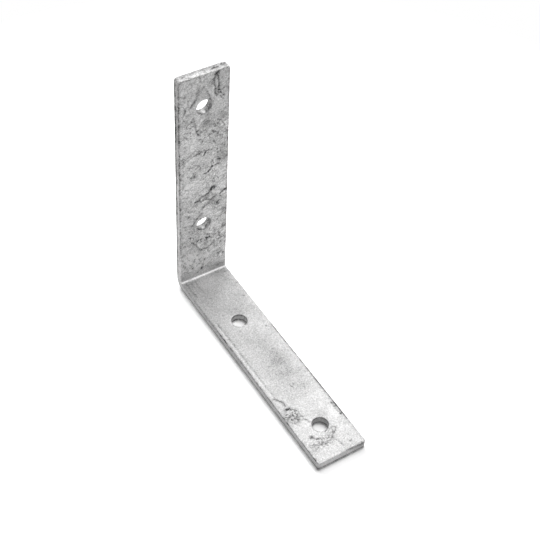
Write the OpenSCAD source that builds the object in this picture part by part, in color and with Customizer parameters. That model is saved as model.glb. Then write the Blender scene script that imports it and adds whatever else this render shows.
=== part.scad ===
// Corner brace bracket, 150 x 150 x 30 mm, bent square from one piece of 5 mm flat steel bar.
// Millimetres. The foot leg lies on Z = 0 and points along +X, the upright leg points up along +Z.
// The origin is under the middle of the whole bracket, on the surface that it stands on.

/* [Legs] */
// Length of the foot leg, from the back of the upright to the end
foot_len = 150; // [100:1:300]
// Height of the upright leg, from the underside of the foot to the top
upright_len = 150; // [100:1:300]

/* [Bar] */
// Width of the flat bar
bar_w = 30; // [20:1:80]
// Thickness of the flat bar
bar_t = 5; // [3:0.5:10]
// Radius on the long edges and the end edges of the bar
edge_r = 0.6; // [0.2:0.1:1]
// Radius on the corners at each end of the bar, seen on the flat
corner_r = 1.2; // [0.8:0.2:8]

/* [Bend] */
// Inside radius of the bend
bend_r = 1.5; // [0.5:0.5:10]

/* [Screw holes] */
// Diameter of the holes
hole_d = 9; // [4:0.5:14]
// Radius on the rim of each hole
rim_r = 0.4; // [0.1:0.1:0.8]
// Distance from the outer corner of the bracket to the inner hole of the foot leg
foot_hole_from_corner = 46; // [25:1:90]
// Distance from the end of the foot leg to its outer hole
foot_hole_from_end = 21; // [12:1:45]
// Distance from the outer corner of the bracket to the lower hole of the upright leg
upright_hole_from_corner = 46; // [25:1:90]
// Distance from the top of the upright leg to its upper hole
upright_hole_from_end = 21; // [12:1:45]

/* [Hidden] */
$fn = 32;
// How far a cutter passes the face that it cuts
past = 1;
hole_r = hole_d / 2;
// Radius on the outside of the bend, and so the distance of its centre from the back and the underside
bend_out = bend_r + bar_t;
// Distance from the middle of the bar to the centre of a corner's radius
side_y = bar_w / 2 - corner_r;

// Half of the bar's outline at one side: square towards the middle, rounded on the outside
module side_profile() {
    square([corner_r - edge_r, bar_t]);
    translate([0, edge_r])
        square([corner_r, bar_t - 2 * edge_r]);
    for (z = [edge_r, bar_t - edge_r])
        translate([corner_r - edge_r, z])
            circle(edge_r);
}

// Cross-section of the bar, width along X and thickness along Y, from 0 to bar_t
module bar_section() {
    translate([-side_y, 0])
        square([2 * side_y, bar_t]);
    for (side = [0, 1])
        mirror([side, 0])
            translate([side_y, 0])
                side_profile();
}

// Straight bar from X = bend_out to its end at X = len, lying on Z = 0, with a rounded end
module straight_leg(len) {
    straight = len - corner_r - bend_out;
    translate([bend_out, 0, 0])
        rotate([90, 0, 90])
            linear_extrude(straight)
                bar_section();
    translate([len - corner_r, 0, 0])
        rounded_end();
}

// End of the bar: the side profile carried round both corners and across the end
module rounded_end() {
    translate([0, side_y, 0])
        rotate([90, 0, 0])
            linear_extrude(2 * side_y)
                side_profile();
    for (side = [0, 1])
        mirror([0, side, 0])
            translate([0, side_y, 0])
                rotate_extrude(angle = 90)
                    side_profile();
}

// Hole through a bar that lies on Z = 0, with both rims rounded
module hole_cutter() {
    rotate_extrude()
        union() {
            translate([0, -past])
                square([hole_r, bar_t + 2 * past]);
            rim_cutter();
            translate([0, bar_t])
                mirror([0, 1])
                    rim_cutter();
        }
}

// Half outline of what the rounded rim takes away round the hole at Z = 0
module rim_cutter() {
    difference() {
        translate([0, -past])
            square([hole_r + rim_r, past + rim_r]);
        translate([hole_r + rim_r, rim_r])
            circle(rim_r);
    }
}

// One leg with its two holes, lying on Z = 0 and measured from the outer corner
module drilled_leg(len, from_corner, from_end) {
    difference() {
        straight_leg(len);
        for (x = [from_corner, len - from_end])
            translate([x, 0, 0])
                hole_cutter();
    }
}

// Quarter turn of the bar between the two legs
module bend() {
    translate([bend_out, 0, bend_out])
        rotate([90, 180, 0])
            rotate_extrude(angle = 90)
                translate([bend_out, 0])
                    rotate(90)
                        bar_section();
}

// The whole bracket, in one piece
module corner_brace() {
    color("silver")
        translate([-foot_len / 2, 0, 0])
            union() {
                drilled_leg(foot_len, foot_hole_from_corner, foot_hole_from_end);
                mirror([1, 0, -1])
                    drilled_leg(upright_len, upright_hole_from_corner, upright_hole_from_end);
                bend();
            }
}

corner_brace();
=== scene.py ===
import math
import bmesh
import bpy
import numpy as np
from mathutils import Matrix, Vector, noise


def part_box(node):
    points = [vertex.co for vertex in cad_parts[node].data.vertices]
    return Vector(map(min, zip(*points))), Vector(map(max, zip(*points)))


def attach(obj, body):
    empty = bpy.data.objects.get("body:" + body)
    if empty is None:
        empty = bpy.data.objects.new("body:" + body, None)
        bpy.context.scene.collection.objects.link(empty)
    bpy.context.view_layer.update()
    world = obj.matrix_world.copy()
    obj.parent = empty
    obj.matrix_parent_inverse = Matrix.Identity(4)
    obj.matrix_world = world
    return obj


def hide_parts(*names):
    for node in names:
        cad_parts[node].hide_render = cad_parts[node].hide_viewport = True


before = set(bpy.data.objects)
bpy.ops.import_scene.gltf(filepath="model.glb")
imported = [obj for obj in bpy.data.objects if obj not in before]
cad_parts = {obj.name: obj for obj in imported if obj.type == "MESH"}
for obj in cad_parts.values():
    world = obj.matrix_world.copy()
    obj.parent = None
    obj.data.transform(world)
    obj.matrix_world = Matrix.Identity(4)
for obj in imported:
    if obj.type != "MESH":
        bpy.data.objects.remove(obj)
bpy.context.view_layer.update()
boxLow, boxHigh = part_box("corner_brace")
mm = 0.001

# Camera, fitted to the outline of the bracket: degrees and millimetres
shot = {
    "azimuth": 55.487,
    "elevation": 46.394,
    "roll": 3.728,
    "distance": 698.998,
    "slideRight": 41.784,  # from the outer corner of the bracket, across the picture
    "slideUp": 2.787,
    "lens": 78.93,
    "sensor": 36.0,
    "clip": (0.01, 20),  # metres
}


def placeCamera(shot):
    azimuth = math.radians(shot["azimuth"])
    elevation = math.radians(shot["elevation"])
    roll = math.radians(shot["roll"])
    level = math.cos(elevation)
    back = Vector((math.sin(azimuth) * level, -math.cos(azimuth) * level, math.sin(elevation)))
    right = Vector((math.cos(azimuth), math.sin(azimuth), 0))
    up = back.cross(right)
    rolledRight = math.cos(roll) * right + math.sin(roll) * up
    rolledUp = math.cos(roll) * up - math.sin(roll) * right
    heel = Vector((boxLow[0], 0, 0))
    slide = shot["slideRight"] * rolledRight + shot["slideUp"] * rolledUp
    place = heel + mm * (slide + shot["distance"] * back)
    data = bpy.data.cameras.new("photoCamera")
    data.lens = shot["lens"]
    data.sensor_width = shot["sensor"]
    data.clip_start, data.clip_end = shot["clip"]
    camera = bpy.data.objects.new("photoCamera", data)
    axes = Matrix((rolledRight, rolledUp, back)).transposed()
    camera.matrix_world = Matrix.Translation(place) @ axes.to_4x4()
    bpy.context.scene.collection.objects.link(camera)
    bpy.context.scene.camera = camera
    print("camera placed")


# Node helpers
class Wire:  # an output that can take part in sums
    def __init__(self, shader, socket):
        self.shader = shader
        self.socket = socket

    def sum(self, operation, first, second):
        return self.shader.node("ShaderNodeMath", {"operation": operation}, {0: first, 1: second})

    def __add__(self, other):
        return self.sum("ADD", self, other)

    def __radd__(self, other):
        return self.sum("ADD", other, self)

    def __sub__(self, other):
        return self.sum("SUBTRACT", self, other)

    def __rsub__(self, other):
        return self.sum("SUBTRACT", other, self)

    def __mul__(self, other):
        return self.sum("MULTIPLY", self, other)

    def __rmul__(self, other):
        return self.sum("MULTIPLY", other, self)

    def __abs__(self):
        return self.sum("ABSOLUTE", self, 0)

    def held(self, low=0, high=1):
        return self.shader.node("ShaderNodeClamp", {}, {"Value": self, "Min": low, "Max": high})


class Shader:  # the nodes of a material or of the world
    def __init__(self, owner, end="ShaderNodeOutputMaterial"):
        owner.use_nodes = True
        self.tree = owner.node_tree
        self.tree.nodes.clear()
        self.end = self.tree.nodes.new(end)

    def node(self, kind, settings, sockets, out=0):
        made = self.tree.nodes.new(kind)
        for name, value in settings.items():
            setattr(made, name, value)
        for name, value in sockets.items():
            if isinstance(value, Wire):
                self.tree.links.new(value.socket, made.inputs[name])
            else:
                made.inputs[name].default_value = value
        return Wire(self, made.outputs[out])

    def mix(self, factor, first, second):  # colours
        return self.node("ShaderNodeMix", {"data_type": "RGBA"}, {0: factor, 6: first, 7: second}, 2)

    def noise(self, size, detail=2.0, rough=0.5, distortion=0.0, at=None):  # size in mm
        place = at or self.node("ShaderNodeTexCoord", {}, {}, "Object")
        sockets = {"Vector": place, "Scale": 1 / (size * mm), "Detail": detail}
        sockets.update({"Roughness": rough, "Distortion": distortion})
        return self.node("ShaderNodeTexNoise", {}, sockets)

    def painted(self, name):  # a value kept on the mesh
        return self.node("ShaderNodeAttribute", {"attribute_name": name}, {}, "Fac")

    def seenDirectly(self):  # by the camera, or in a reflection
        rays = ("Is Camera Ray", "Is Glossy Ray", "Is Transmission Ray")
        return sum(self.node("ShaderNodeLightPath", {}, {}, ray) for ray in rays).held()

    def show(self, surface):
        self.tree.links.new(surface.socket, self.end.inputs["Surface"])


def newMaterial(name):
    material = bpy.data.materials.new(name)
    return material, Shader(material)


# Form of the bracket, in millimetres
bracket = {
    "footLength": (boxHigh[0] - boxLow[0]) / mm,
    "uprightHeight": (boxHigh[2] - boxLow[2]) / mm,
    "width": (boxHigh[1] - boxLow[1]) / mm,
    "thickness": 5.0,
    "bendRadius": 1.5,
    "edgeRadius": 0.5,
    "cornerRadius": 1.6,
    "holeRadius": 4.5,
    "rimRadius": 0.4,
    "holesFromCorner": (46.0, 129.0),
    "room": 0.05,  # outer faces start this far inside the solid, so that their ripples stay in its box
    "fineCell": 0.4,  # mesh size on the inner faces
    "coarseCell": 1.1,  # mesh size on the back and the underside
    "holeBlock": 6.4,  # half side of the square of rings round a hole
    "edgeLines": (0.2, 0.5),  # closer mesh lines beside an edge
    "bendSteps": 10,  # mesh strips in each half of the bend
    "roundSteps": 4,  # mesh strips round an edge
    "seam": (0.8, 1.5),  # above the back, where the coarse mesh ends and the fine one starts
}
innerFace = bracket["thickness"]
bendOut = bracket["bendRadius"] + bracket["thickness"]
halfBend = (bracket["bendRadius"] + bracket["thickness"] / 2) * math.pi / 4  # of the bend laid out flat
bareSide = bracket["width"] / 2 - bracket["room"] - bracket["edgeRadius"]


def laidOut(fromCorner):  # place on the flat strip of a distance along a leg
    return halfBend + fromCorner - bendOut


def fold(strip):  # flat strip to bent bracket, in mm from the outer corner
    u, y, n = strip.T
    turned = 1 - np.clip(u / halfBend, -1, 1)  # 0 along the foot, 2 up the upright
    angle = turned * math.pi / 4
    past = np.maximum(np.abs(u) - halfBend, 0)
    x = bendOut - (bendOut - n) * np.sin(angle) + past * (u > 0)
    z = bendOut - (bendOut - n) * np.cos(angle) + past * (u < 0)
    return np.stack([x, y, z], axis=1)


def meshLines(low, high, between, cell):
    near = bracket["edgeLines"]
    stops = [low, *(low + step for step in near), *between]
    stops += [*(high - step for step in reversed(near)), high]
    lines = [low]
    for start, end in zip(stops, stops[1:]):
        steps = max(1, round((end - start) / cell))
        lines += [start + (end - start) * step / steps for step in range(1, steps + 1)]
    return lines


def aroundBlock(first, last, low, high):  # steps round a block of the grid, from its first corner
    there = [(i, low) for i in range(first, last)] + [(last, j) for j in range(low, high)]
    return there + [(i, high) for i in range(last, first, -1)] + [(first, j) for j in range(high, low, -1)]


slack = 0.01  # mm, for points that lie on the side of a block
firstCorner = -0.75 * math.pi  # the way from a hole to the corner where aroundBlock starts


class Sheet:  # one face of the flat strip, with its outline and the rims of its holes
    def __init__(self, cell):
        block = bracket["holeBlock"]
        centres = [laidOut(place) for place in bracket["holesFromCorner"]]
        centres = sorted([-centre for centre in centres] + centres)
        low = bracket["room"] + bracket["edgeRadius"] - laidOut(bracket["uprightHeight"])
        high = laidOut(bracket["footLength"]) - bracket["room"] - bracket["edgeRadius"]
        stops = sorted([centre + side * block for centre in centres for side in (-1, 1)])
        strips = bracket["bendSteps"]
        stops = sorted(stops + [halfBend * step / strips for step in range(-strips, strips + 1)])
        along = meshLines(low, high, stops, cell)
        across = meshLines(-bareSide, bareSide, [-block, block], cell)
        self.points = []
        self.quads = []
        number = {}
        for i, u in enumerate(along):
            for j, y in enumerate(across):
                reach = min(max(abs(u - centre), abs(y)) for centre in centres)
                if reach > block - slack:
                    number[i, j] = len(self.points)
                    self.points.append((u, y))
        for i in range(len(along) - 1):
            for j in range(len(across) - 1):
                corners = [(i, j), (i + 1, j), (i + 1, j + 1), (i, j + 1)]
                if all(corner in number for corner in corners):
                    self.quads.append([number[corner] for corner in corners])
        outline = aroundBlock(0, len(along) - 1, 0, len(across) - 1)
        self.outline = [number[step] for step in outline]
        rows = [min(range(len(across)), key=lambda j: abs(across[j] - side)) for side in (-block, block)]
        self.rims = []
        for centre in centres:
            sides = (centre - block, centre + block)
            columns = [min(range(len(along)), key=lambda i: abs(along[i] - side)) for side in sides]
            loop = [number[step] for step in aroundBlock(*columns, *rows)]
            self.rims.append(self.ringsTo(centre, loop, cell))
        self.points = np.array(self.points)
        self.centres = centres
        self.roundCorners(low, high)

    def ringsTo(self, centre, loop, cell):  # rings of mesh from a square block to the rim of its hole
        radius = bracket["holeRadius"] + bracket["rimRadius"]
        rings = round((bracket["holeBlock"] * math.sqrt(2) - radius) / cell)
        square = [self.points[number] for number in loop]
        for ring in range(1, rings + 1):
            part = ring / rings
            start = len(self.points)
            for step, (u, y) in enumerate(square):
                angle = 2 * math.pi * step / len(square) + firstCorner
                circle = (centre + radius * math.cos(angle), radius * math.sin(angle))
                self.points.append((u + (circle[0] - u) * part, y + (circle[1] - y) * part))
            inner = list(range(start, len(self.points)))
            self.quads += bandOf(loop, inner)
            loop = inner
        return loop

    def roundCorners(self, low, high):
        radius = bracket["cornerRadius"] - bracket["edgeRadius"]
        edge = self.points[self.outline]
        inside = np.stack([np.clip(edge[:, 0], low + radius, high - radius),
                           np.clip(edge[:, 1], radius - bareSide, bareSide - radius)], axis=1)
        away = edge - inside
        away /= np.linalg.norm(away, axis=1, keepdims=True)
        self.points[self.outline] = inside + radius * away
        self.outward = away

    def edges(self):  # each closed edge: its points, the way to its wall, its rounding, and if it is a hole
        found = [(self.outline, self.outward, bracket["edgeRadius"], False)]
        for rim, centre in zip(self.rims, self.centres):
            spoke = np.array([centre, 0]) - self.points[rim]
            spoke /= np.linalg.norm(spoke, axis=1, keepdims=True)
            found.append((rim, spoke, bracket["rimRadius"], True))
        return found


def bandOf(loop, other):
    turned = loop[1:] + loop[:1]
    otherTurned = other[1:] + other[:1]
    return [list(quad) for quad in zip(loop, turned, otherTurned, other)]


def zipLoops(loop, other, places):  # joins two closed loops that have different numbers of points
    def parts(ring):
        steps = np.linalg.norm(np.diff(places[ring + ring[:1]], axis=0), axis=1)
        return np.append(0, np.cumsum(steps) / steps.sum())

    mine, theirs = parts(loop), parts(other)
    faces = []
    i = j = 0
    while i < len(loop) or j < len(other):
        a, b = loop[i % len(loop)], other[j % len(other)]
        if j == len(other) or (i < len(loop) and mine[i + 1] <= theirs[j + 1]):
            i += 1
            faces.append([a, loop[i % len(loop)], b])
        else:
            j += 1
            faces.append([a, other[j % len(other)], b])
    return faces


class Skin:  # points of the whole surface on the flat strip, with the way out of the metal at each
    def __init__(self):
        self.points = np.zeros((0, 3))
        self.normals = np.zeros((0, 3))
        self.inHole = np.zeros(0, bool)
        self.faces = []

    def add(self, flat, level, normals, inHole=False):
        start = len(self.points)
        rows = np.column_stack([flat, np.full(len(flat), level)])
        self.points = np.vstack([self.points, rows])
        self.normals = np.vstack([self.normals, normals])
        self.inHole = np.append(self.inHole, np.full(len(flat), inHole))
        return list(range(start, len(self.points)))

    def addSheet(self, sheet, level, side):
        start = self.add(sheet.points, level, np.tile([0, 0, side], (len(sheet.points), 1)))[0]
        self.faces += [[start + corner for corner in quad] for quad in sheet.quads]
        return start

    def wrap(self, sheet, start, edge, level, side, wall, cell):  # over a rounded edge and down the wall
        corners, away, radius, inHole = edge
        flat = sheet.points[corners]
        loop = [start + corner for corner in corners]
        rounds = []
        for step in range(1, bracket["roundSteps"] + 1):
            angle = step / bracket["roundSteps"] * math.pi / 2
            rounds.append((math.sin(angle), math.cos(angle), radius * (1 - math.cos(angle))))
        straight = abs(level - side * radius - wall)
        steps = max(1, round(straight / cell))
        rounds += [(1, 0, radius + straight * step / steps) for step in range(1, steps + 1)]
        for out, along, depth in rounds:
            normals = np.column_stack([away * out, np.full(len(away), side * along)])
            ring = self.add(flat + away * radius * out, level - side * depth, normals, inHole)
            self.faces += bandOf(loop, ring)
            loop = ring
        return loop


def makeSkin():
    fine, coarse = Sheet(bracket["fineCell"]), Sheet(bracket["coarseCell"])
    skin = Skin()
    back = bracket["room"]
    seamLow, seamHigh = bracket["seam"]
    front = skin.addSheet(fine, innerFace, 1)
    rear = skin.addSheet(coarse, back, -1)
    for mine, theirs in zip(fine.edges(), coarse.edges()):
        upper = skin.wrap(fine, front, mine, innerFace, 1, seamHigh, bracket["fineCell"])
        lower = skin.wrap(coarse, rear, theirs, back, -1, seamLow, bracket["coarseCell"])
        skin.faces += zipLoops(upper, lower, skin.points)
    return skin


# Marks in the zinc: width, rise and tone of each, then the points it runs through, in mm.
# A point is (across the bar, distance from the outer corner). A negative tone is darker.
uprightMarks = [
    # long loop at the top
    (0.6, -0.1, -0.58, (6.7, 148.4), (6.1, 146.8), (5.6, 144.8), (5.6, 142), (6.3, 139), (6, 136.4),
     (7.2, 134)),
    (0.6, -0.1, -0.58, (7.7, 148.4), (8, 145), (8.3, 141), (8, 137.4), (8.1, 134.8)),
    (0.7, 0.1, 0.15, (7, 146), (6.9, 142), (7.1, 138)),
    (1.1, -0.02, -0.32, (6.4, 148.6), (8.2, 148.8)),
    (0.45, -0.08, -0.65, (8.3, 137.2), (9.6, 136.6), (11.7, 137.6)),
    (0.5, -0.08, -0.72, (9.3, 135.4), (10.2, 134), (11.6, 132.6)),
    (0.45, -0.06, -0.6, (9.1, 133.2), (10.2, 131.6), (11.1, 130.6)),
    # tent over the upper hole
    (0.9, -0.07, -0.32, (-3.4, 142), (-3.9, 140), (-4, 138), (-4.4, 136.5), (-5.5, 135), (-6.5, 133.5),
     (-8, 132)),
    (0.5, -0.08, -0.62, (-5.6, 134.6), (-8.1, 131.9)),
    (1.4, 0, -0.16, (-0.6, 142.2), (-2.6, 141.6), (-3.6, 139.5), (-4.6, 136), (-6.4, 133.4)),
    (0.9, 0, -0.12, (1, 140.6), (2.4, 136.6), (3.8, 132.6)),
    (0.6, 0, -0.16, (0, 142.6), (-1.8, 140.8), (-2.4, 139)),
    (0.5, -0.06, -0.42, (1.6, 138.4), (3, 134.5), (4.2, 131.4)),
    (0.8, -0.02, -0.18, (3.4, 133.2), (4.8, 130.6)),
    (0.5, 0.06, 0.3, (0.6, 142.6), (2.2, 139.6), (3.4, 136.8)),
    (0.8, 0.05, 0.3, (5, 140), (4.9, 135)),
    # under the top edge
    (0.7, -0.02, -0.35, (-14.5, 149.6), (-9, 149.4), (-3, 149.7)),
    (0.4, -0.05, -0.4, (-14.5, 140.5), (-12, 139.5), (-11, 139.8)),
    (0.4, -0.04, -0.35, (-14, 136), (-12, 135)),
    (0.7, -0.04, -0.38, (-2.7, 148.5), (-2.3, 146)),
    (0.5, -0.04, -0.4, (-0.5, 148.3), (1.3, 149.4)),
    (0.45, -0.03, -0.3, (-7.5, 140), (-8, 138), (-7.6, 136)),
    (0.5, -0.05, -0.62, (-11.5, 132), (-11.2, 130), (-12, 128.5)),
    (0.6, -0.04, -0.35, (-9.8, 136.5), (-9.3, 133.5), (-9, 131)),
    # dark band below the upper hole
    (0.4, -0.05, -0.45, (-13, 127), (-12, 124.5)),
    (0.4, -0.05, -0.45, (-6.5, 124), (-6, 123)),
    (0.8, -0.05, -0.45, (-6.5, 122), (-5.5, 120), (-5, 117), (-4.5, 114), (-3.5, 111.5)),
    (0.5, -0.06, -0.35, (-4.6, 115), (-3.9, 112.6), (-2.6, 111.2)),
    (0.5, 0.07, 0.5, (-4, 116.5), (-3.2, 119.2), (-1.8, 121), (0.4, 122)),
    (0.5, -0.04, -0.4, (-2.9, 117), (-4, 114.6)),
    (2.9, 0, -0.48, (1.4, 118.4)),
    (2.2, 0, -0.36, (10, 121.5), (12, 118.5)),
    (0.8, -0.04, -0.4, (-12.3, 124.3)),
    (0.6, -0.03, -0.4, (-7.5, 121.7)),
    (0.7, -0.05, -0.6, (6.5, 114.3)),
    (0.9, 0.03, 0.16, (7.6, 113), (9.8, 114)),
    (0.5, -0.05, -0.5, (8.4, 118), (10.4, 116), (12, 113.2)),
    (0.6, -0.06, -0.6, (11.6, 112.7)),
    (0.5, -0.03, -0.4, (5.4, 115.8), (8.4, 115.2), (10, 114)),
    (0.5, -0.03, -0.35, (9.2, 112.6)),
    # spots and short lines
    (0.5, -0.05, -0.5, (0.5, 110.5)),
    (0.65, -0.07, -0.75, (5.4, 111.2), (5.6, 110.6)),
    (0.5, -0.05, -0.5, (1.5, 106)),
    (0.5, -0.04, -0.5, (-11.2, 109.5)),
    (0.45, -0.06, -0.5, (6, 111.5), (8, 109), (9, 107), (10, 105.5)),
    (0.5, -0.05, -0.45, (12.9, 109.4), (13.5, 106.5)),
    (0.55, -0.07, -0.6, (-2.5, 108.6), (-0.9, 106.8)),
    (0.45, -0.05, -0.5, (5.7, 104.4), (6.3, 103.5), (6.8, 102)),
    (1.1, 0, -0.25, (14.3, 103)),
    (0.4, -0.05, -0.45, (14.3, 104), (14, 101.5)),
    (0.5, -0.05, -0.5, (-11.5, 113.5), (-9.7, 110.8)),
    (0.45, -0.04, -0.4, (2.4, 109.4), (4.2, 107.2)),
    (0.4, -0.04, -0.4, (-12, 104.8), (-11.2, 103.4)),
    # upper crease
    (0.45, -0.08, -0.55, (-6.3, 98.4), (-4.5, 99.3), (-3.2, 98.6), (-1.8, 100)),
    (0.4, -0.06, -0.45, (-0.2, 100), (1.6, 99.6), (3.8, 99.1), (5.4, 99.4)),
    (0.6, -0.14, -1, (0.8, 98.7), (-0.2, 96.7)),
    (0.5, 0.1, 0.6, (-0.2, 98.8), (-1, 97.2)),
    (0.6, -0.05, -0.6, (-8.2, 99.3)),
    (0.45, -0.04, -0.45, (-10, 98.7)),
    (0.8, -0.03, -0.4, (-12.5, 97), (-12, 93.5)),
    (0.6, -0.04, -0.4, (-12.3, 90.5)),
    (0.7, 0.04, 0.4, (-11.3, 86.5)),
    (0.4, -0.05, -0.35, (8.3, 98.4), (8.3, 95), (8.5, 92)),
    (0.8, -0.08, -0.7, (8.6, 90.6), (9.6, 90.2)),
    (0.45, -0.05, -0.45, (4.8, 91.8), (5.8, 89)),
    (3.2, 0, -0.46, (12, 91.4)),
    (0.8, -0.05, -0.5, (14.3, 91.2)),
    (0.4, -0.04, -0.35, (-5.6, 91.8), (-3.6, 91)),
    (0.55, -0.04, -0.5, (-2.5, 88.3)),
    (1.6, 0, -0.25, (-13.2, 88.2)),
    # lower crease
    (0.5, -0.1, -0.85, (-0.3, 83.7), (1.5, 83.6), (2.7, 84.2)),
    (0.6, -0.14, -1, (2.7, 84.2), (3.2, 85.2), (4.3, 86), (4.8, 87)),
    (0.5, -0.1, -0.8, (4.8, 87), (6.5, 86.8), (8.5, 87.5), (9.5, 87.5)),
    (0.4, -0.05, -0.45, (4.8, 87), (4.4, 89.6)),
    (0.5, 0.08, 0.4, (1.4, 85), (3.6, 87.3)),
    (1.5, 0, -0.35, (-7, 84.3), (-5, 84)),
    (0.5, -0.06, -0.5, (-8.4, 84.2), (-6.4, 83.2), (-5.2, 85.6)),
    (0.4, -0.05, -0.45, (-8.4, 82.6), (-7, 81.4), (-5.4, 81.4)),
    (0.6, -0.04, -0.5, (-9.7, 85.3)),
    (0.6, -0.06, -0.5, (-14.5, 85.5), (-12.8, 83.5)),
    (0.5, -0.04, -0.5, (-0.5, 76.3)),
    (0.5, -0.03, -0.35, (-13, 78.7)),
    (0.5, -0.05, -0.45, (4.4, 77), (6.3, 75.5)),
    (0.5, -0.05, -0.5, (6.2, 75.3)),
    (1.2, 0, -0.3, (5, 79)),
    (0.5, -0.05, -0.45, (6.2, 78.4), (5.6, 76.8)),
    # paler and darker clouds
    (4.5, 0, -0.15, (6, 136), (6, 146)),
    (5, 0, -0.08, (2, 141), (11, 141)),
    (3, 0, -0.17, (-6.5, 128)),
    (4, 0, -0.14, (5, 98), (11, 98)),
    (2.5, 0, -0.08, (3, 98), (7, 98)),
    (2.5, 0, 0.1, (7, 80), (11, 80)),
    (2, 0, 0.1, (3.5, 122)),
    (2.5, 0, 0.13, (-13, 141), (-13, 135)),
    (2.5, 0, 0.08, (-13.5, 84), (-13.5, 112)),
    (4, 0, 0.16, (-12, 73), (12, 79)),
    (3.5, 0, -0.14, (6, 62), (11, 62)),
    (3, 0, 0.1, (8, 51)),
    (2.5, 0, -0.35, (11, 38.5)),
    (2.5, 0, 0.17, (11.5, 56)),
    (3, 0, 0.11, (-13, 50), (8, 50)),
    (3.5, 0, 0.1, (-12, 32), (-11, 22)),
    (4, 0, -0.12, (2, 34), (7, 30), (6, 18)),
    (8, 0, 0.32, (-6, 20), (2, 20)),
    (4, 0, -0.14, (10, 21), (10.5, 34)),
    (2.5, 0, -0.12, (7, 26), (7, 21)),
    (3, 0, 0.12, (-5, 15), (2, 15)),
    (2.2, 0, 0.12, (-1, 20)),
    (3, 0, 0.1, (-13, 27), (-8, 26)),
    (3, 0, 0.1, (-11, 33)),
    (3, 0, 0.08, (-4, 14)),
    (3, 0, -0.1, (11, 13)),
    (2.2, 0, 0.25, (10.5, 18.5)),
    (5, 0, 0.12, (-10, 76)),
    (4, 0, 0.2, (-10, 86)),
    # horseshoe and the lines below it
    (0.95, -0.14, -0.95, (4.2, 70.3), (5, 71.5), (6, 71.8), (6.8, 70.6)),
    (0.8, -0.02, -0.35, (5.1, 70.4)),
    (0.7, -0.12, -0.8, (3.3, 68.7), (2, 67.8), (0, 67.3), (-1.5, 67.6), (-2.8, 66.6)),
    (0.85, -0.13, -1.2, (-4.1, 65.4), (-5, 65.2)),
    (0.4, -0.04, -0.35, (-2.6, 65.2), (-2, 63.5)),
    (0.5, -0.06, -0.5, (-4.5, 63.2), (-5, 61)),
    (0.5, 0.08, 0.4, (-1.6, 66.2), (0.4, 66)),
    (0.75, -0.13, -1, (13.7, 66.8), (14.7, 67.4)),
    (0.6, -0.06, -0.85, (13.4, 66.8), (11.6, 66), (10.2, 65)),
    (0.5, -0.03, -0.5, (10, 65), (10, 63.4), (11.2, 62.2)),
    (0.5, -0.09, -0.6, (1.3, 64.2), (3, 64), (4.2, 63.1), (6, 63.9), (7.6, 64.4)),
    (0.5, -0.07, -0.5, (5, 65.6), (7.4, 66.2)),
    (2.6, 0, -0.27, (6.5, 62.8), (5, 60.6), (7.5, 59)),
    (0.8, -0.02, -0.3, (3.4, 62.2), (1, 60), (-0.8, 59)),
    (1.2, 0, 0.2, (1, 62.6)),
    (0.45, -0.06, -0.45, (-0.7, 58.6), (1, 59.3), (3, 60.4)),
    (0.5, -0.07, -0.5, (9, 60.2), (8.3, 58.9), (9, 57.9), (10, 57.6)),
    (0.5, -0.06, -0.5, (7.5, 57.8)),
    (0.5, -0.05, -0.6, (-10, 60), (-7.2, 58.9)),
    (0.8, 0.04, 0.35, (-11, 58), (-8, 57.5)),
    # arc beside the lower hole
    (0.5, -0.07, -0.4, (-1.3, 54.5), (-3.7, 53), (-4.6, 51.5), (-6, 49.5), (-8, 47.3)),
    (1, 0, -0.26, (-1.3, 54.5), (-3.7, 53), (-4.6, 51.5), (-6, 49.5), (-8.4, 47.6)),
    (0.5, -0.04, -0.4, (-13, 49.5), (-11, 48.6)),
    (1.8, 0, -0.48, (13, 52.3)),
    (0.5, -0.05, -0.8, (8.8, 45.7)),
    (0.9, -0.05, -0.6, (6.1, 40), (7, 38)),
    (1.5, 0, -0.5, (13, 39.2)),
    # ring of a run below the lower hole
    (0.5, -0.09, -0.5, (-6.9, 34), (-5.3, 32), (-4.5, 30.3), (-3.5, 28.4), (-2.6, 27.2), (-0.4, 24.6)),
    (0.55, -0.08, -0.6, (-4.6, 30.4), (-3.6, 28.6)),
    (0.8, -0.08, -0.5, (-6.8, 33.6)),
    (0.7, -0.08, -0.5, (-5.3, 31.9)),
    # raised ridge, paler by a painted highlight
    (0.7, 0.12, 0.5, (-2.8, 33.8), (-4.1, 33), (-3.8, 30.6), (-2.9, 29.2)),
    (0.55, -0.1, -0.8, (-4.6, 33.4), (-3.4, 34.8), (-1.6, 34.8)),
    (0.6, -0.12, -1, (1.6, 34.7), (2.4, 34.2), (3.8, 34.2)),
    (0.5, -0.09, -0.75, (4.9, 33.2), (6.2, 32.6)),
    # raised spot, paler by a painted highlight
    (0.7, 0.08, 0.4, (5.8, 31.6)),
    (0.5, -0.08, -0.75, (9.3, 35.8), (10.5, 33.5)),
    (0.45, -0.04, -0.35, (10.5, 33), (10.4, 31.5), (9.8, 30)),
    (0.55, -0.1, -0.9, (6.3, 29.5), (5.5, 28.3), (4.9, 27.3), (3, 26.8), (2, 26), (0.8, 26)),
    (0.5, -0.08, -0.65, (0.4, 26.6), (-1.5, 26.6)),
    (2.8, 0, -0.22, (1, 31)),
    (0.6, -0.05, -0.5, (0.8, 37.8), (2.5, 37.3), (3.5, 36.3)),
    (0.5, -0.07, -0.55, (-9.5, 39.5), (-8.5, 38.2), (-7, 37.8), (-6.4, 36.8)),
    (0.5, -0.05, -0.4, (-9, 27.6), (-8.2, 25)),
    (0.6, -0.06, -1.1, (0.7, 17.6)),
    (0.4, -0.03, -0.5, (0.4, 17), (-0.5, 14.2), (-1.3, 11.6)),
    (0.7, -0.1, -1.6, (-1.3, 10.9)),
    (0.4, -0.04, -0.4, (5.6, 21.6), (6.6, 20.8)),
    (0.5, 0.05, 0.55, (-8.6, 26.4), (-8.4, 24.8), (-7.8, 23.6)),
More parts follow.
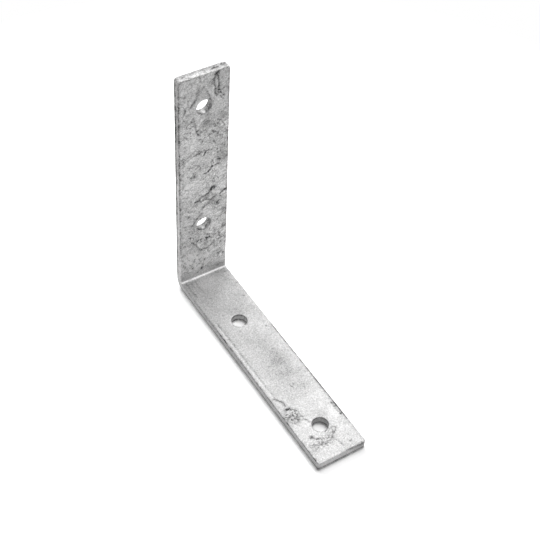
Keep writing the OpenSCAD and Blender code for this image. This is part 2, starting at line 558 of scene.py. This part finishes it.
    (0.45, 0.05, 0.6, (-12.2, 22.6), (-11, 20), (-10.2, 17.6)),
    (0.4, 0.03, 0.45, (-6, 24.6), (-4.6, 21.2)),
    (0.4, 0.03, 0.5, (-9.4, 20.6), (-8.2, 17.4)),
    (0.45, -0.04, -0.3, (-14.2, 24.4), (-12.6, 20.6)),
    (0.45, -0.04, -0.7, (-6, 20.4), (-6.5, 18)),
    (0.45, -0.04, -0.7, (-10.6, 24), (-9.2, 20.8)),
    (0.4, 0.03, 0.45, (1.6, 24), (3.2, 20.4)),
    (0.45, -0.04, -0.6, (2.4, 24), (3.8, 21.2)),
    (0.45, -0.04, -0.6, (-13.4, 19), (-11.8, 15.4)),
    (0.45, -0.04, -0.6, (-3.2, 19.4), (-1.8, 16.2)),
    (0.45, -0.04, -0.7, (-9, 17), (-7.8, 15.2)),
    (0.75, -0.1, -1.7, (-7.2, 13.6)),
    (0.5, -0.06, -1, (-4, 8.7)),
    (1.4, 0, -0.25, (8, 9), (13, 8.8)),
]
footMarks = [
    # fine pits
    (0.5, -0.07, -0.8, (-12, 16.5)),
    (0.45, -0.07, -0.8, (-15, 26.5)),
    (0.5, -0.04, -0.5, (12, 9)),
    (0.5, -0.04, -0.5, (12, 30.8)),
    (0.5, -0.05, -0.5, (-3.7, 53.3)),
    (0.5, -0.05, -0.5, (11, 57)),
    (0.4, -0.05, -0.35, (0.2, 99.2), (0.3, 100.6)),
    (0.4, -0.04, -0.4, (2, 108.5)),
    (0.4, -0.05, -0.5, (-5.5, 120.3)),
    (0.5, -0.05, -0.5, (7.5, 145.5), (8.7, 145.4)),
    (0.5, -0.05, -0.5, (-14.4, 146.5)),
    (0.6, -0.08, -0.4, (14.6, 110.3)),
    (0.5, -0.03, -0.4, (13.5, 20.3), (15, 20)),
    # bead along the near edge
    (0.8, 0.12, 0.12, (-13.7, 38), (-13.6, 60), (-13.4, 80), (-13.2, 102)),
    (0.5, -0.04, -0.3, (-12.2, 42), (-12, 60), (-12, 80), (-11.8, 101)),
    (0.75, -0.09, -0.6, (-12.3, 103), (-11.2, 104.8), (-10.2, 106.4), (-9.7, 108), (-9.7, 109.8)),
    (1.1, 0.12, 0.15, (-12.8, 105), (-11.3, 107.6), (-11, 110)),
    (0.4, -0.05, -0.5, (-15, 48), (-15, 57)),
    (0.4, -0.05, -0.5, (-14.9, 62), (-14.9, 64)),
    (0.5, -0.08, -0.6, (-14.8, 82)),
    (0.5, -0.08, -0.6, (-15, 90)),
    # faint rings and clouds
    (0.4, -0.03, -0.25, (0.2, 101), (2, 99.2), (4, 101), (2, 103), (0.2, 101)),
    (0.4, -0.03, -0.25, (5.5, 100.8), (7, 103), (5.5, 105.2)),
    (6, 0, 0.3, (-2, 10)),
    (6, 0, -0.12, (9, 30), (0, 34)),
    (3, 0, -0.12, (6, 66)),
    (3, 0, -0.11, (11.5, 10), (11.5, 20)),
    (2.5, 0, 0.07, (-11.5, 10), (-11.5, 16)),
    (2.5, 0, -0.09, (0, 40), (5, 40.5)),
    (2.5, 0, 0.08, (-2, 53)),
    (4.5, 0, -0.15, (4, 77), (11, 79)),
    (4, 0, -0.08, (-3, 85), (2, 95)),
    (3, 0, 0.12, (-5.5, 124), (-5.5, 136)),
    (3, 0, 0.12, (10.5, 126)),
    (4, 0, 0.08, (7, 137)),
    (3, 0, 0.1, (11, 124), (11, 131)),
    (3, 0, 0.09, (-5, 137), (-7, 142)),
    (2.5, 0, -0.08, (5, 124)),
    (4, 0, -0.06, (7, 76), (7, 100)),
    (2.5, 0, -0.08, (-12, 106), (-12, 118)),
    (3, 0, -0.06, (1, 94)),
    (3, 0, -0.08, (-1, 40), (7, 42)),
    (2.5, 0, -0.07, (11, 16)),
    (4.5, 0, -0.15, (4, 83)),
    (3.5, 0, -0.15, (4, 91)),
    (4, 0, -0.08, (1, 65), (3, 73)),
    (9, 0, -0.12, (-4, 84), (-2, 104)),
    (4, 0, -0.12, (-11, 10), (-10, 24)),
    (0.6, -0.02, -0.3, (-12.4, 6), (-12.6, 13), (-12.2, 19)),
    (0.5, -0.02, -0.25, (-9.6, 7), (-9.8, 12)),
    (0.5, -0.02, -0.25, (-6.8, 7), (-7.2, 14), (-6.8, 18)),
    # painted shade on the near rims of the holes
    (0.35, 0, -0.25, (-4.6, 47.8), (-4, 49), (-2.8, 50.2)),
    (0.35, 0, -0.3, (-4.8, 127.6), (-4.9, 129.4), (-4.3, 131.4), (-3.2, 132.9)),
    # lumps before the outer hole
    (0.85, -0.09, -0.75, (-10.6, 112.2), (-8.6, 112.5)),
    (3.2, 0, -0.1, (-11.5, 118.5), (-8, 118)),
    (0.5, -0.06, -0.5, (-5.5, 122), (-4.7, 123.5), (-4.3, 125)),
    # lumps past the outer hole
    (0.9, -0.1, -0.75, (-8.9, 133.9), (-8.3, 133.9)),
    (0.45, -0.05, -0.4, (-8, 135), (-6, 137)),
    (0.5, -0.03, -0.25, (-7.3, 136), (-4.5, 136.8)),
    (2.2, 0, -0.1, (-11.5, 139.5), (-4, 139.5)),
    (0.5, -0.06, -0.5, (4, 133.5), (5.8, 134), (5.7, 135), (4.5, 136.5), (1.4, 138.3)),
    (0.5, -0.05, -0.3, (1.2, 138.5), (1.7, 141), (2.3, 143), (3, 145.6)),
    # far edge
    # painted shade: a soft darker band along the far edge
    (0.9, 0, -0.14, (14.2, 98), (14.2, 150)),
    (0.4, -0.05, -0.35, (13, 120), (14.4, 122.4), (14.6, 126), (13.4, 129), (12.8, 125), (13, 120)),
    (0.4, -0.06, -0.7, (13, 120)),
    (0.4, -0.06, -0.7, (13.5, 123)),
    (0.4, -0.06, -0.7, (13.2, 128.8)),
    (0.5, -0.07, -0.5, (14.5, 130)),
    (0.5, -0.06, -0.5, (12.6, 149.4), (8, 149.8), (3, 149.7)),
]
nearSideMarks = [  # through the bar from its back, distance up the upright
    (0.5, 0.04, 0.15, (2.6, 60), (2.9, 105), (2.8, 146)),
    # painted shade: darker high on the near side
    (3, 0, -0.22, (2.5, 112), (2.5, 132)),
    (0.6, -0.05, -0.5, (2.4, 84), (2.2, 80)),
    (0.5, -0.05, -0.5, (1.4, 70), (2.2, 66), (1.6, 58)),
]
topEndMarks = [  # across the bar, through it from its back
    # raised specks along the front edge, paler by a painted highlight
    (0.7, 0.05, 0.2, (-14, 3.6), (-12.6, 4)),
    (0.5, 0.06, 0.25, (-8.8, 4.2), (-5.6, 3.6), (-3, 3.8)),
    (0.45, 0.05, 0.2, (-4.6, 2.9), (-0.6, 3.2)),
    (0.6, 0.06, 0.3, (2.2, 3.9), (3.6, 3.8)),
    (1.6, 0, -0.12, (4.4, 3.4), (13.4, 3.4)),
    (0.45, -0.06, -0.8, (-9.8, 3.4), (-8.2, 4.6)),
    (0.8, -0.05, -0.3, (-13, 1), (-4, 0.9)),
    (0.7, -0.05, -0.25, (-1, 1.5), (3, 1.1), (10, 1)),
    (0.5, -0.04, -0.6, (4.8, 3.2), (6.6, 2.6), (9, 2.9)),
    (0.4, -0.04, -0.5, (-12, 2.6), (-10.6, 2.2)),
    (0.4, -0.04, -0.5, (-7, 2.2), (-5.4, 1.8)),
    (0.4, -0.04, -0.4, (0.4, 3.8), (1.2, 2.8)),
    (0.4, -0.06, -0.8, (11, 2), (12, 1.2), (13.4, 1.8), (12.4, 2.8), (11, 2)),
]
footEndMarks = [
    (0.5, -0.04, -0.5, (5, 4.4), (14.4, 4.4)),
    (0.6, -0.05, -0.5, (11, 3.4), (13.6, 3)),
    # painted light: a paler band across the upper part of the end
    (1.8, 0, 0.35, (-13, 2.9), (5, 2.9)),
]
edgeShades = [  # painted shade along the edges, and one painted highlight on the foot's near inner edge: on the foot or not, place across and through the bar, reach, first and last distance, tone
    (False, -14.9, 4.7, 0.5, 24, 151, -0.55),
    (False, -14.9, 0.9, 0.8, 8, 151, -0.9),
    (False, -15, 2.7, 2.2, 84, 151, -0.32),
    (False, 14.6, 4.9, 0.5, 20, 151, -0.5),
    (True, -14.9, 0.8, 1.0, 4, 152, -0.35),
    (True, -14.85, 4.8, 0.45, 4, 152, -0.48),
    (True, -14.9, 3.9, 0.5, 108, 152, 0.25),
    (True, 14.6, 4.9, 0.5, 55, 134, -0.7),
]
lumpFields = [  # middle across and from the corner, half sizes, in mm, and strength
    (-9.5, 117.5, 4.5, 5, 1.0),
    (-6.5, 139.5, 7, 3.6, 1.0),
    (1.5, 135.5, 3, 2.2, 0.7),
]
calmSpots = [  # on the upright, across and from the corner, and radius, in mm
    (1.4, 118.4, 3.4),
    (11, 120, 2.8),
    (12, 91, 2.8),
    (4.5, 61.5, 2.6),
    (-1, 137, 5),
]
# The coat, in mm unless a line says otherwise. A Line, Turn, Depth or Gap pair is a middle and a width.
surface = {
    "swell": (11, 0.035),  # size and height of the slow waves of the coat
    "ripple": (3.2, 0.04),
    "pimple": (1.3, 0.018),
    "footCalm": 0.45,  # share of the ripples that the foot keeps
    "leastFacing": 0.01,  # a mark leaves out points that face it less than this
    "highest": 1.0,  # most that the coat may rise on the inner faces
    "squareOn": 0.95,  # how squarely a point has to face inwards for that
    "roomShare": 0.95,  # of the room, that the coat may fill on the other faces
    # marks
    "wander": 0.35,  # how far a mark strays from its points
    "wanderSize": 1.7,
    "lip": (1.9, 0.35),  # raised rim of a groove: its place in widths, and its share of the depth
    "thin": 0.6,  # marks thinner than this are broken up
    "broken": (0.95, 0.9, 1.2),  # mean strength of a thin mark, its swing, and the size of the swings
    "brokenRange": (0.5, 1.5),
    # lumps round the foot's outer hole
    "lumpSize": 1.8,
    "lumpSlice": 0.4,  # height at which the pattern is cut
    "lumpRise": 0.08,
    "lumpTone": 0.82,
    "lumpReach": 1.25,  # half sizes of a field, where its lumps end
    "lumpFade": 0.4,  # half sizes over which they sink
    "lumpBend": (0.45, 1.3),  # how far the lumps are pushed out of shape, and how quickly that changes
    "lumpSeeds": (41, 42, 43),  # others give other lumps
    "lumpSwing": (0.75, 0.6, 0.8),  # their mean strength, its swing, and how quickly it changes
    "lumpGroove": 0.17,  # width of the grooves between them, in lumps
    "lumpCrown": (0.6, 0.15),  # rise and tone on a lump, where the groove has -1
    # edges, end and bend: painted shade and highlights along the edges, painted contact shadow along the
    # foot's lower end, and a painted highlight in the bend
    "edgeFade": 3,  # length over which an edge's painted shade comes and goes
    "ragged": (0.85, (0.7, 2.8), (0.8, 1.1)),  # an edge's painted shade: mean, then swings and their sizes
    "raggedRange": (0.2, 1.6),
    "endShadowTone": -0.7,  # painted contact shadow along the lower edge of the foot's end
    "endLine": (0.5, 0.6),  # above the underside
    "endFrom": 149,  # from the corner
    "bendHighlight": 0.7,  # painted highlight: a paler line in the bottom of the bend
    "bendLine": (5.4, 0.28),  # from the corner
    "bendReach": 0.6,  # below the inner face
    "bendGap": (-8.5, 1.3),  # across the bar, where the line is lost
    # walls of the holes, with painted shade and a painted highlight: turns in radians, depths from the
    # inner face
    "holeShading": 0.6,  # painted shade: how much darker they are
    "holeGlint": (0.85, 1.2),  # painted highlight: a paler spot low in the upright's lower and upper hole
    "glintTurn": (0.12, 0.22),
    "glintDepth": (1.9, 1.2),
    "holeShade": (1.0, 0.7),  # painted shade: a darker crescent beside it
    "shadeTurn": (-0.9, 0.8),
    "shadeDepth": (0.8, 0.9),
    "uprightWall": (0.55, 0.25),  # share of the tone all round, and what the far side adds
    "footWall": 0.2,
    "footRim": (0.75, (0.6, 0.6)),  # share of the tone, and its depth
    "footBase": (1.6, (4.6, 0.45)),
    # wrinkling, from 0 to 1
    "calmest": 0.12,
    "innerWrinkles": 0.88,
    "sideWrinkles": 0.4,
    "backWrinkles": 0.5,
    "underWrinkles": 0.3,
    "wrinkleStart": (4, 10),  # where they start above the corner, and the length over which they grow
    "lowWrinkles": (0.35, (26, 14)),  # more of them low on the upright: middle and width
    "topCalm": (0.4, 118, 10),  # fewer from this height on, and the length over which they fade
    "spotCalm": 0.65,  # how much of them a calm spot takes away
}


seedStep = 7.3  # each seed reads another part of the noise
seedShift = Vector((seedStep, seedStep, seedStep))


def waves(places, size, seed=0):  # smooth noise of one size, about -1 to 1
    shifted = places / size + seedStep * seed
    return np.array([noise.noise(place) for place in shifted.tolist()])


def offBy(value, pair):  # squared distance from a middle, in widths
    middle, width = pair
    return ((value - middle) / width) ** 2


def growing(value, start, length):  # 0 up to the start, 1 from a length after it
    return np.clip((value - start) / length, 0, 1)


def distanceTo(path, y, a):
    path = [np.array(point, float) for point in path]
    near = np.hypot(y - path[0][0], a - path[0][1])
    for start, end in zip(path, path[1:]):
        run = end - start
        part = np.clip(((y - start[0]) * run[0] + (a - start[1]) * run[1]) / (run @ run), 0, 1)
        near = np.minimum(near, np.hypot(y - start[0] - part * run[0], a - start[1] - part * run[1]))
    return near


def press(marks, y, a, broken):  # rise in mm and tone that the marks give at each place
    rise = np.zeros(len(y))
    tone = np.zeros(len(y))
    lipPlace, lipShare = surface["lip"]
    for width, height, shade, *path in marks:
        near = distanceTo(path, y, a) / width
        core = np.exp(-near ** 2)
        lip = np.exp(-(near - lipPlace) ** 2) * lipShare * (height < 0)
        rise += height * (core - lip)
        tone += shade * core * (broken if width < surface["thin"] else 1)  # a wide mark is soft and whole
    return rise, tone


def lumps(y, a):  # rise and tone of the small lumps that stand close together
    rise = np.zeros(len(y))
    tone = np.zeros(len(y))
    end = surface["lumpReach"]
    push, pushPace = surface["lumpBend"]
    mean, swing, swingPace = surface["lumpSwing"]
    crownRise, crownTone = surface["lumpCrown"]
    for middleY, middleA, halfY, halfA, strength in lumpFields:
        reach = np.hypot((y - middleY) / halfY, (a - middleA) / halfA)
        for k in np.flatnonzero(reach < end):
            place = Vector((y[k], a[k], surface["lumpSlice"])) / surface["lumpSize"]
            shifts = [noise.noise(place * pushPace + seedShift * seed) for seed in surface["lumpSeeds"]]
            place += push * Vector(shifts)
            first, second = noise.voronoi(place)[0][:2]
            part = strength * min(1, max(0, (end - reach[k]) / surface["lumpFade"]))
            part *= mean + swing * noise.noise(place * swingPace)
            groove = math.exp(-((second - first) / surface["lumpGroove"]) ** 2)
            rise[k] += part * surface["lumpRise"] * (crownRise - groove)
            tone[k] += part * surface["lumpTone"] * (crownTone - groove)
    return rise, tone


# painted shade and highlights along the edges
def edgeShading(onFoot, across, through, fromCorner):
    tone = np.zeros(len(across))
    for foot, middleY, middleN, reach, first, last, shade in edgeShades:
        near = np.hypot(across - middleY, through - middleN) / reach
        span = growing(np.minimum(fromCorner - first, last - fromCorner), 0, surface["edgeFade"])
        tone += shade * np.exp(-near ** 2) * span * (onFoot == foot)
    return tone


def holeShading(onFoot, upper, alongOut, acrossOut, depth):  # painted shade on the walls, and a painted highlight low in the upright's holes
    turn = np.arctan2(-acrossOut, -alongOut)  # 0 at the bottom of an upright hole, and more on the far side
    glint = np.exp(-offBy(turn, surface["glintTurn"]) - offBy(depth, surface["glintDepth"]))
    shade = np.exp(-offBy(turn, surface["shadeTurn"]) - offBy(depth, surface["shadeDepth"]))
    shade *= np.array(surface["holeShade"])[upper]
    wall, farWall = surface["uprightWall"]
    wall = wall + farWall * np.clip(-acrossOut, 0, 1) + shade
    upright = np.array(surface["holeGlint"])[upper] * glint - surface["holeShading"] * wall
    foot = surface["footWall"]
    for share, line in (surface["footRim"], surface["footBase"]):
        foot = foot + share * np.exp(-offBy(depth, line))
    return np.where(onFoot, -surface["holeShading"] * foot, upright)


def zones(onFoot, outside, across, through, fromCorner, facing):
    # marks, where they are, the two places that they are given in, and how much each point faces them
    alongOut, acrossOut, inner = facing
    return [
        (uprightMarks, ~onFoot, across, fromCorner, inner),
        (footMarks, onFoot, across, fromCorner, inner),
        (nearSideMarks, ~onFoot & outside, through, fromCorner, -acrossOut),
        (topEndMarks, ~onFoot & outside, across, through, -alongOut),
        (footEndMarks, onFoot & outside, across, through, alongOut),
    ]


def wrinkles(onFoot, across, fromCorner, inner):  # how wrinkled the coat is
    facingIn, facingOut = np.maximum(inner, 0), np.maximum(-inner, 0)
    more, lowPlace = surface["lowWrinkles"]
    less, *topPlace = surface["topCalm"]
    low = 1 + more * np.exp(-offBy(fromCorner, lowPlace)) - less * growing(fromCorner, *topPlace)
    sides = surface["sideWrinkles"] * (1 - np.abs(inner))
    upright = surface["innerWrinkles"] * facingIn * low + sides + surface["backWrinkles"] * facingOut
    upright = upright * growing(fromCorner, *surface["wrinkleStart"])
    wrinkled = surface["calmest"] + np.where(onFoot, surface["underWrinkles"] * facingOut, upright)
    for middleY, middleA, radius in calmSpots:
        near = np.hypot(across - middleY, fromCorner - middleA) / radius
        wrinkled *= 1 - surface["spotCalm"] * np.exp(-near ** 2) * ~onFoot
    return wrinkled


def coat(skin):  # lays the zinc on: moves the points, and returns the tone, which holds the marks and the painted shade and highlights, and the wrinkling of each
    bent = fold(skin.points)
    onFoot = skin.points[:, 0] > 0
    fromCorner = np.where(onFoot, bent[:, 0], bent[:, 2])
    across, through = skin.points[:, 1:].T
    alongOut, acrossOut, inner = facing = skin.normals.T
    outside = ~skin.inHole
    calm = np.where(onFoot, surface["footCalm"], 1)
    rise = np.zeros(len(bent))
    for seed, name in enumerate(("swell", "ripple", "pimple")):
        size, height = surface[name]
        rise += height * waves(bent, size, seed) * calm
    tone = np.zeros(len(bent))
    strayed = [surface["wander"] * waves(bent, surface["wanderSize"], seed) for seed in (4, 5)]
    mean, swing, size = surface["broken"]
    broken = np.clip(mean + swing * waves(bent, size, seed=6), *surface["brokenRange"])
    for marks, chosen, first, second, faced in zones(onFoot, outside, across, through, fromCorner, facing):
        here = np.flatnonzero(chosen & (faced > surface["leastFacing"]))
        places = (first[here] + strayed[0][here], second[here] + strayed[1][here])
        markRise, markTone = press(marks, *places, broken[here])
        if marks is footMarks:
            lumpRise, lumpTone = lumps(*places)
            markRise += lumpRise
            markTone += lumpTone
        rise[here] += markRise * faced[here]
        tone[here] += markTone * faced[here]
    # painted shade and highlights along the edges
    mean, coarse, fine = surface["ragged"]
    ragged = mean + coarse[0] * waves(bent, coarse[1], seed=8) + fine[0] * waves(bent, fine[1], seed=9)
    ragged = np.clip(ragged, *surface["raggedRange"])
    tone += outside * ragged * edgeShading(onFoot, across, through, fromCorner)
    # painted contact shadow along the lower edge of the foot's end
    endShadowLine = np.exp(-offBy(through, surface["endLine"])) * (onFoot & (fromCorner > surface["endFrom"]))
    tone += outside * ragged * surface["endShadowTone"] * endShadowLine
    # painted shade and a painted highlight on the walls of the holes
    upper = (fromCorner > sum(bracket["holesFromCorner"]) / 2).astype(int)
    inWall = skin.inHole * broken * (1 - np.abs(inner))
    tone += inWall * holeShading(onFoot, upper, alongOut, acrossOut, innerFace - through)
    # painted highlight in the bottom of the bend
    inBend = offBy(through, (innerFace, surface["bendReach"])) + offBy(fromCorner, surface["bendLine"])
    tone += np.exp(-inBend) * surface["bendHighlight"] * (1 - np.exp(-offBy(across, surface["bendGap"])))
    inRoom = bracket["room"] * surface["roomShare"]  # stays in the box of the solid
    rise = np.minimum(rise, np.where(inner > surface["squareOn"], surface["highest"], inRoom))
    skin.points = skin.points + skin.normals * rise[:, None]
    return tone, wrinkles(onFoot, across, fromCorner, inner)


def makeBracket():
    skin = makeSkin()
    tone, wrinkled = coat(skin)
    bent = fold(skin.points)
    bent[:, 0] -= bracket["footLength"] / 2
    mesh = bpy.data.meshes.new("zincBracket")
    mesh.from_pydata((bent * mm).tolist(), [], skin.faces)
    for name, values in (("tone", tone), ("wrinkled", wrinkled)):
        mesh.attributes.new(name, "FLOAT", "POINT").data.foreach_set("value", values.astype(np.float32))
    shape = bmesh.new()
    shape.from_mesh(mesh)
    bmesh.ops.recalc_face_normals(shape, faces=shape.faces)
    shape.to_mesh(mesh)
    shape.free()
    mesh.shade_smooth()
    piece = bpy.data.objects.new("zincBracket", mesh)
    bpy.context.scene.collection.objects.link(piece)
    mesh.materials.append(zincMaterial())
    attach(piece, "root")
    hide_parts("corner_brace")
    print("bracket made,", sum(len(face) - 2 for face in skin.faces), "triangles")


# Zinc coat: sizes in mm, and shares of the way from dark to pale
zinc = {
    "pale": (0.86, 0.857, 0.857, 1),
    "dark": (0.05, 0.05, 0.05, 1),
    "level": 0.575,  # before the marks
    "uprightLift": 0.12,
    # share of the tone: the marks, with the painted shade and highlights
    "toneShare": 0.635,
    "cloud": (12, 0.35),  # size and share
    "blotch": (6.5, 0.62),
    "mottle": (2.4, 0.18, 0.4),  # size, share, and what is left of it where the coat is calm
    "grain": (1.0, 0.33, 0.15),
    "speck": (0.58, 1.12, 0.65),
    "darkWisp": (4.5, 0.17, 20),  # size, share and thinness
    "fineWisp": (2.1, 0.13, 14),
    "paleWisp": (3.6, 0.15, 16),
    "vein": (3.4, 0.36, 14),
    "veinWander": (2.0, 1.6),  # size and reach
    "veinPatch": (6.5, 0.46, 7),  # size, level and sharpness of the patches that have veins
    "slant": 0.47,  # of the streaks on the upright, in radians
    "stretch": 2.0,
    "metallic": 0.85,
    "roughness": 0.46,
    "roughRange": (0.2, 0.8),
    "roughMottle": 0.2,
    "roughMarks": -0.12,  # dark marks are rougher
    "roughWisp": 0.08,
    "bumps": (0.02, 0.01, 0.05, 0.08),  # heights of grain, specks and mottle, and depth of the wisps
}


def zincMaterial():
    material, shader = newMaterial("galvanisedZinc")
    tone = shader.painted("tone")
    wrinkled = shader.painted("wrinkled")
    place = shader.node("ShaderNodeTexCoord", {}, {}, "Object")
    turn = {"Vector": place, "Rotation": (zinc["slant"], 0, 0), "Scale": (1, zinc["stretch"], 1)}
    slanted = shader.node("ShaderNodeMapping", {"vector_type": "TEXTURE"}, turn)

    def wisp(name, detail, rough, distortion, level=0.5):  # thin lines where the noise crosses a level
        crossing = abs(shader.noise(zinc[name][0], detail, rough, distortion, slanted) - level)
        return (1 - crossing * zinc[name][2]).held()

    def kept(name):  # share of a pattern that is left at each place
        return zinc[name][2] + (1 - zinc[name][2]) * wrinkled

    cloud = shader.noise(zinc["cloud"][0], 3, at=place) - 0.5
    blotch = shader.noise(zinc["blotch"][0], 2, 0.5, 1.2, slanted) - 0.5
    mottle = shader.noise(zinc["mottle"][0], 4, 0.6, 0.8, slanted) - 0.5
    grain = shader.noise(zinc["grain"][0], 2, 0.6, at=slanted) - 0.5
    speck = shader.noise(zinc["speck"][0], 1, at=place) - 0.5
    darkWisp = wisp("darkWisp", 3, 0.55, 2.5)
    fineWisp = wisp("fineWisp", 2, 0.5, 2.2)
    paleWisp = wisp("paleWisp", 3, 0.55, 2.0, level=0.47)
    driftSize, driftReach = zinc["veinWander"]
    waving = {"Vector": place, "Scale": 1 / (driftSize * mm), "Detail": 2.0}
    drift = shader.node("ShaderNodeTexNoise", {}, waving, "Color")
    shift = {0: drift, 1: [driftReach * mm] * 3, 2: slanted}
    strayed = shader.node("ShaderNodeVectorMath", {"operation": "MULTIPLY_ADD"}, shift)
    cells = {"Vector": strayed, "Scale": 1 / (zinc["vein"][0] * mm)}
    fromVein = shader.node("ShaderNodeTexVoronoi", {"feature": "DISTANCE_TO_EDGE"}, cells, "Distance")
    patchSize, patchLevel, patchSharpness = zinc["veinPatch"]
    patch = ((shader.noise(patchSize, 2, at=place) - patchLevel) * patchSharpness).held()
    vein = (1 - fromVein * zinc["vein"][2]).held() * patch
    wisps = darkWisp * zinc["darkWisp"][1] + fineWisp * zinc["fineWisp"][1]
    wisps = wisps - paleWisp * zinc["paleWisp"][1] + vein * zinc["vein"][1]
    value = zinc["level"] + cloud * zinc["cloud"][1] + blotch * zinc["blotch"][1] * wrinkled
    value = value + mottle * kept("mottle") * zinc["mottle"][1]
    value = value + grain * zinc["grain"][1] * kept("grain")
    value = value + speck * zinc["speck"][1] * kept("speck")
    value = value - (wisps - zinc["uprightLift"]) * wrinkled + tone * zinc["toneShare"]
    colour = shader.mix(value.held(), zinc["dark"], zinc["pale"])
    rough = zinc["roughness"] + mottle * zinc["roughMottle"] + tone * zinc["roughMarks"]
    rough = (rough + darkWisp * wrinkled * zinc["roughWisp"]).held(*zinc["roughRange"])
    grainHeight, speckHeight, mottleHeight, wispDepth = zinc["bumps"]
    height = grain * grainHeight + speck * speckHeight + mottle * mottleHeight * wrinkled
    height = height - wisps * wrinkled * wispDepth
    bump = shader.node("ShaderNodeBump", {}, {"Strength": 1.0, "Distance": mm, "Height": height})
    sockets = {"Base Color": colour, "Metallic": zinc["metallic"], "Roughness": rough, "Normal": bump}
    shader.show(shader.node("ShaderNodeBsdfPrincipled", {}, sockets))
    print("zinc mixed")
    return material


# Studio: metres, watts
studio = {
    "floorSize": 8.0,
    "floorColour": (0.75, 0.75, 0.75, 1),
    "floorLift": 0.25,  # added in reflections, up to white
    "whiteFrom": 0.2,  # distance from the bracket at which the paper turns white for the camera
    "whitening": 6.0,  # how quickly it does so
    "skyLight": 0.15,
    "aim": (0.0, 0.0, 0.03),
    "softboxPlace": (-0.11, 0.28, 0.55),
    "softboxSize": 0.5,
    "softboxPower": 1.2,
    "topPlace": (-0.18, 0.25, 1.02),
    "topSize": 0.46,
    "topPower": 3.45,
    "leftPlace": (-0.88, 0.1, 0.65),
    "leftSize": 0.6,
    "leftPower": 8.0,
}


def makeFloor():
    half = studio["floorSize"] / 2
    corners = [(-half, -half, 0), (half, -half, 0), (half, half, 0), (-half, half, 0)]
    mesh = bpy.data.meshes.new("floor")
    mesh.from_pydata(corners, [], [(0, 1, 2, 3)])
    floor = bpy.data.objects.new("floor", mesh)
    bpy.context.scene.collection.objects.link(floor)
    material, shader = newMaterial("paperFloor")
    paper = shader.node("ShaderNodeBsdfDiffuse", {}, {"Color": studio["floorColour"]})
    glow = shader.node("ShaderNodeEmission", {}, {"Strength": studio["floorLift"]})
    lifted = shader.node("ShaderNodeAddShader", {}, {0: paper, 1: glow})
    place = shader.node("ShaderNodeTexCoord", {}, {}, "Object")
    away = shader.node("ShaderNodeVectorMath", {"operation": "LENGTH"}, {0: place}, "Value")
    far = ((away - studio["whiteFrom"]) * studio["whitening"]).held()
    # twice the paper is past white, apart from the shadow
    bright = shader.node("ShaderNodeAddShader", {}, {0: paper, 1: paper})
    white = shader.node("ShaderNodeEmission", {}, {"Strength": 1.0})
    page = shader.node("ShaderNodeMixShader", {}, {0: far, 1: bright, 2: white})
    camera = shader.node("ShaderNodeLightPath", {}, {}, "Is Camera Ray")
    around = shader.node("ShaderNodeMixShader", {}, {0: shader.seenDirectly(), 1: paper, 2: lifted})
    shader.show(shader.node("ShaderNodeMixShader", {}, {0: camera, 1: around, 2: page}))
    mesh.materials.append(material)
    print("floor laid")


def areaLight(name):
    data = bpy.data.lights.new(name, "AREA")
    data.size = studio[name + "Size"]
    data.energy = studio[name + "Power"]
    light = bpy.data.objects.new(name, data)
    light.location = studio[name + "Place"]
    aim = Vector(studio["aim"]) - light.location
    light.rotation_euler = aim.to_track_quat("-Z", "Y").to_euler()
    bpy.context.scene.collection.objects.link(light)
    return light


def lightStudio():
    world = bpy.data.worlds.new("studio")
    bpy.context.scene.world = world
    shader = Shader(world, "ShaderNodeOutputWorld")
    room = shader.node("ShaderNodeBackground", {}, {"Color": (1, 1, 1, 1), "Strength": studio["skyLight"]})
    white = shader.node("ShaderNodeBackground", {}, {"Color": (1, 1, 1, 1), "Strength": 1.0})
    shader.show(shader.node("ShaderNodeMixShader", {}, {0: shader.seenDirectly(), 1: room, 2: white}))
    areaLight("softbox")
    for name in ("top", "left"):  # these light the paper and the sides, and don't show in the zinc
        areaLight(name).visible_glossy = False
    print("lights on")


placeCamera(shot)
makeBracket()
makeFloor()
lightStudio()
view = bpy.context.scene.view_settings
view.view_transform = "Standard"
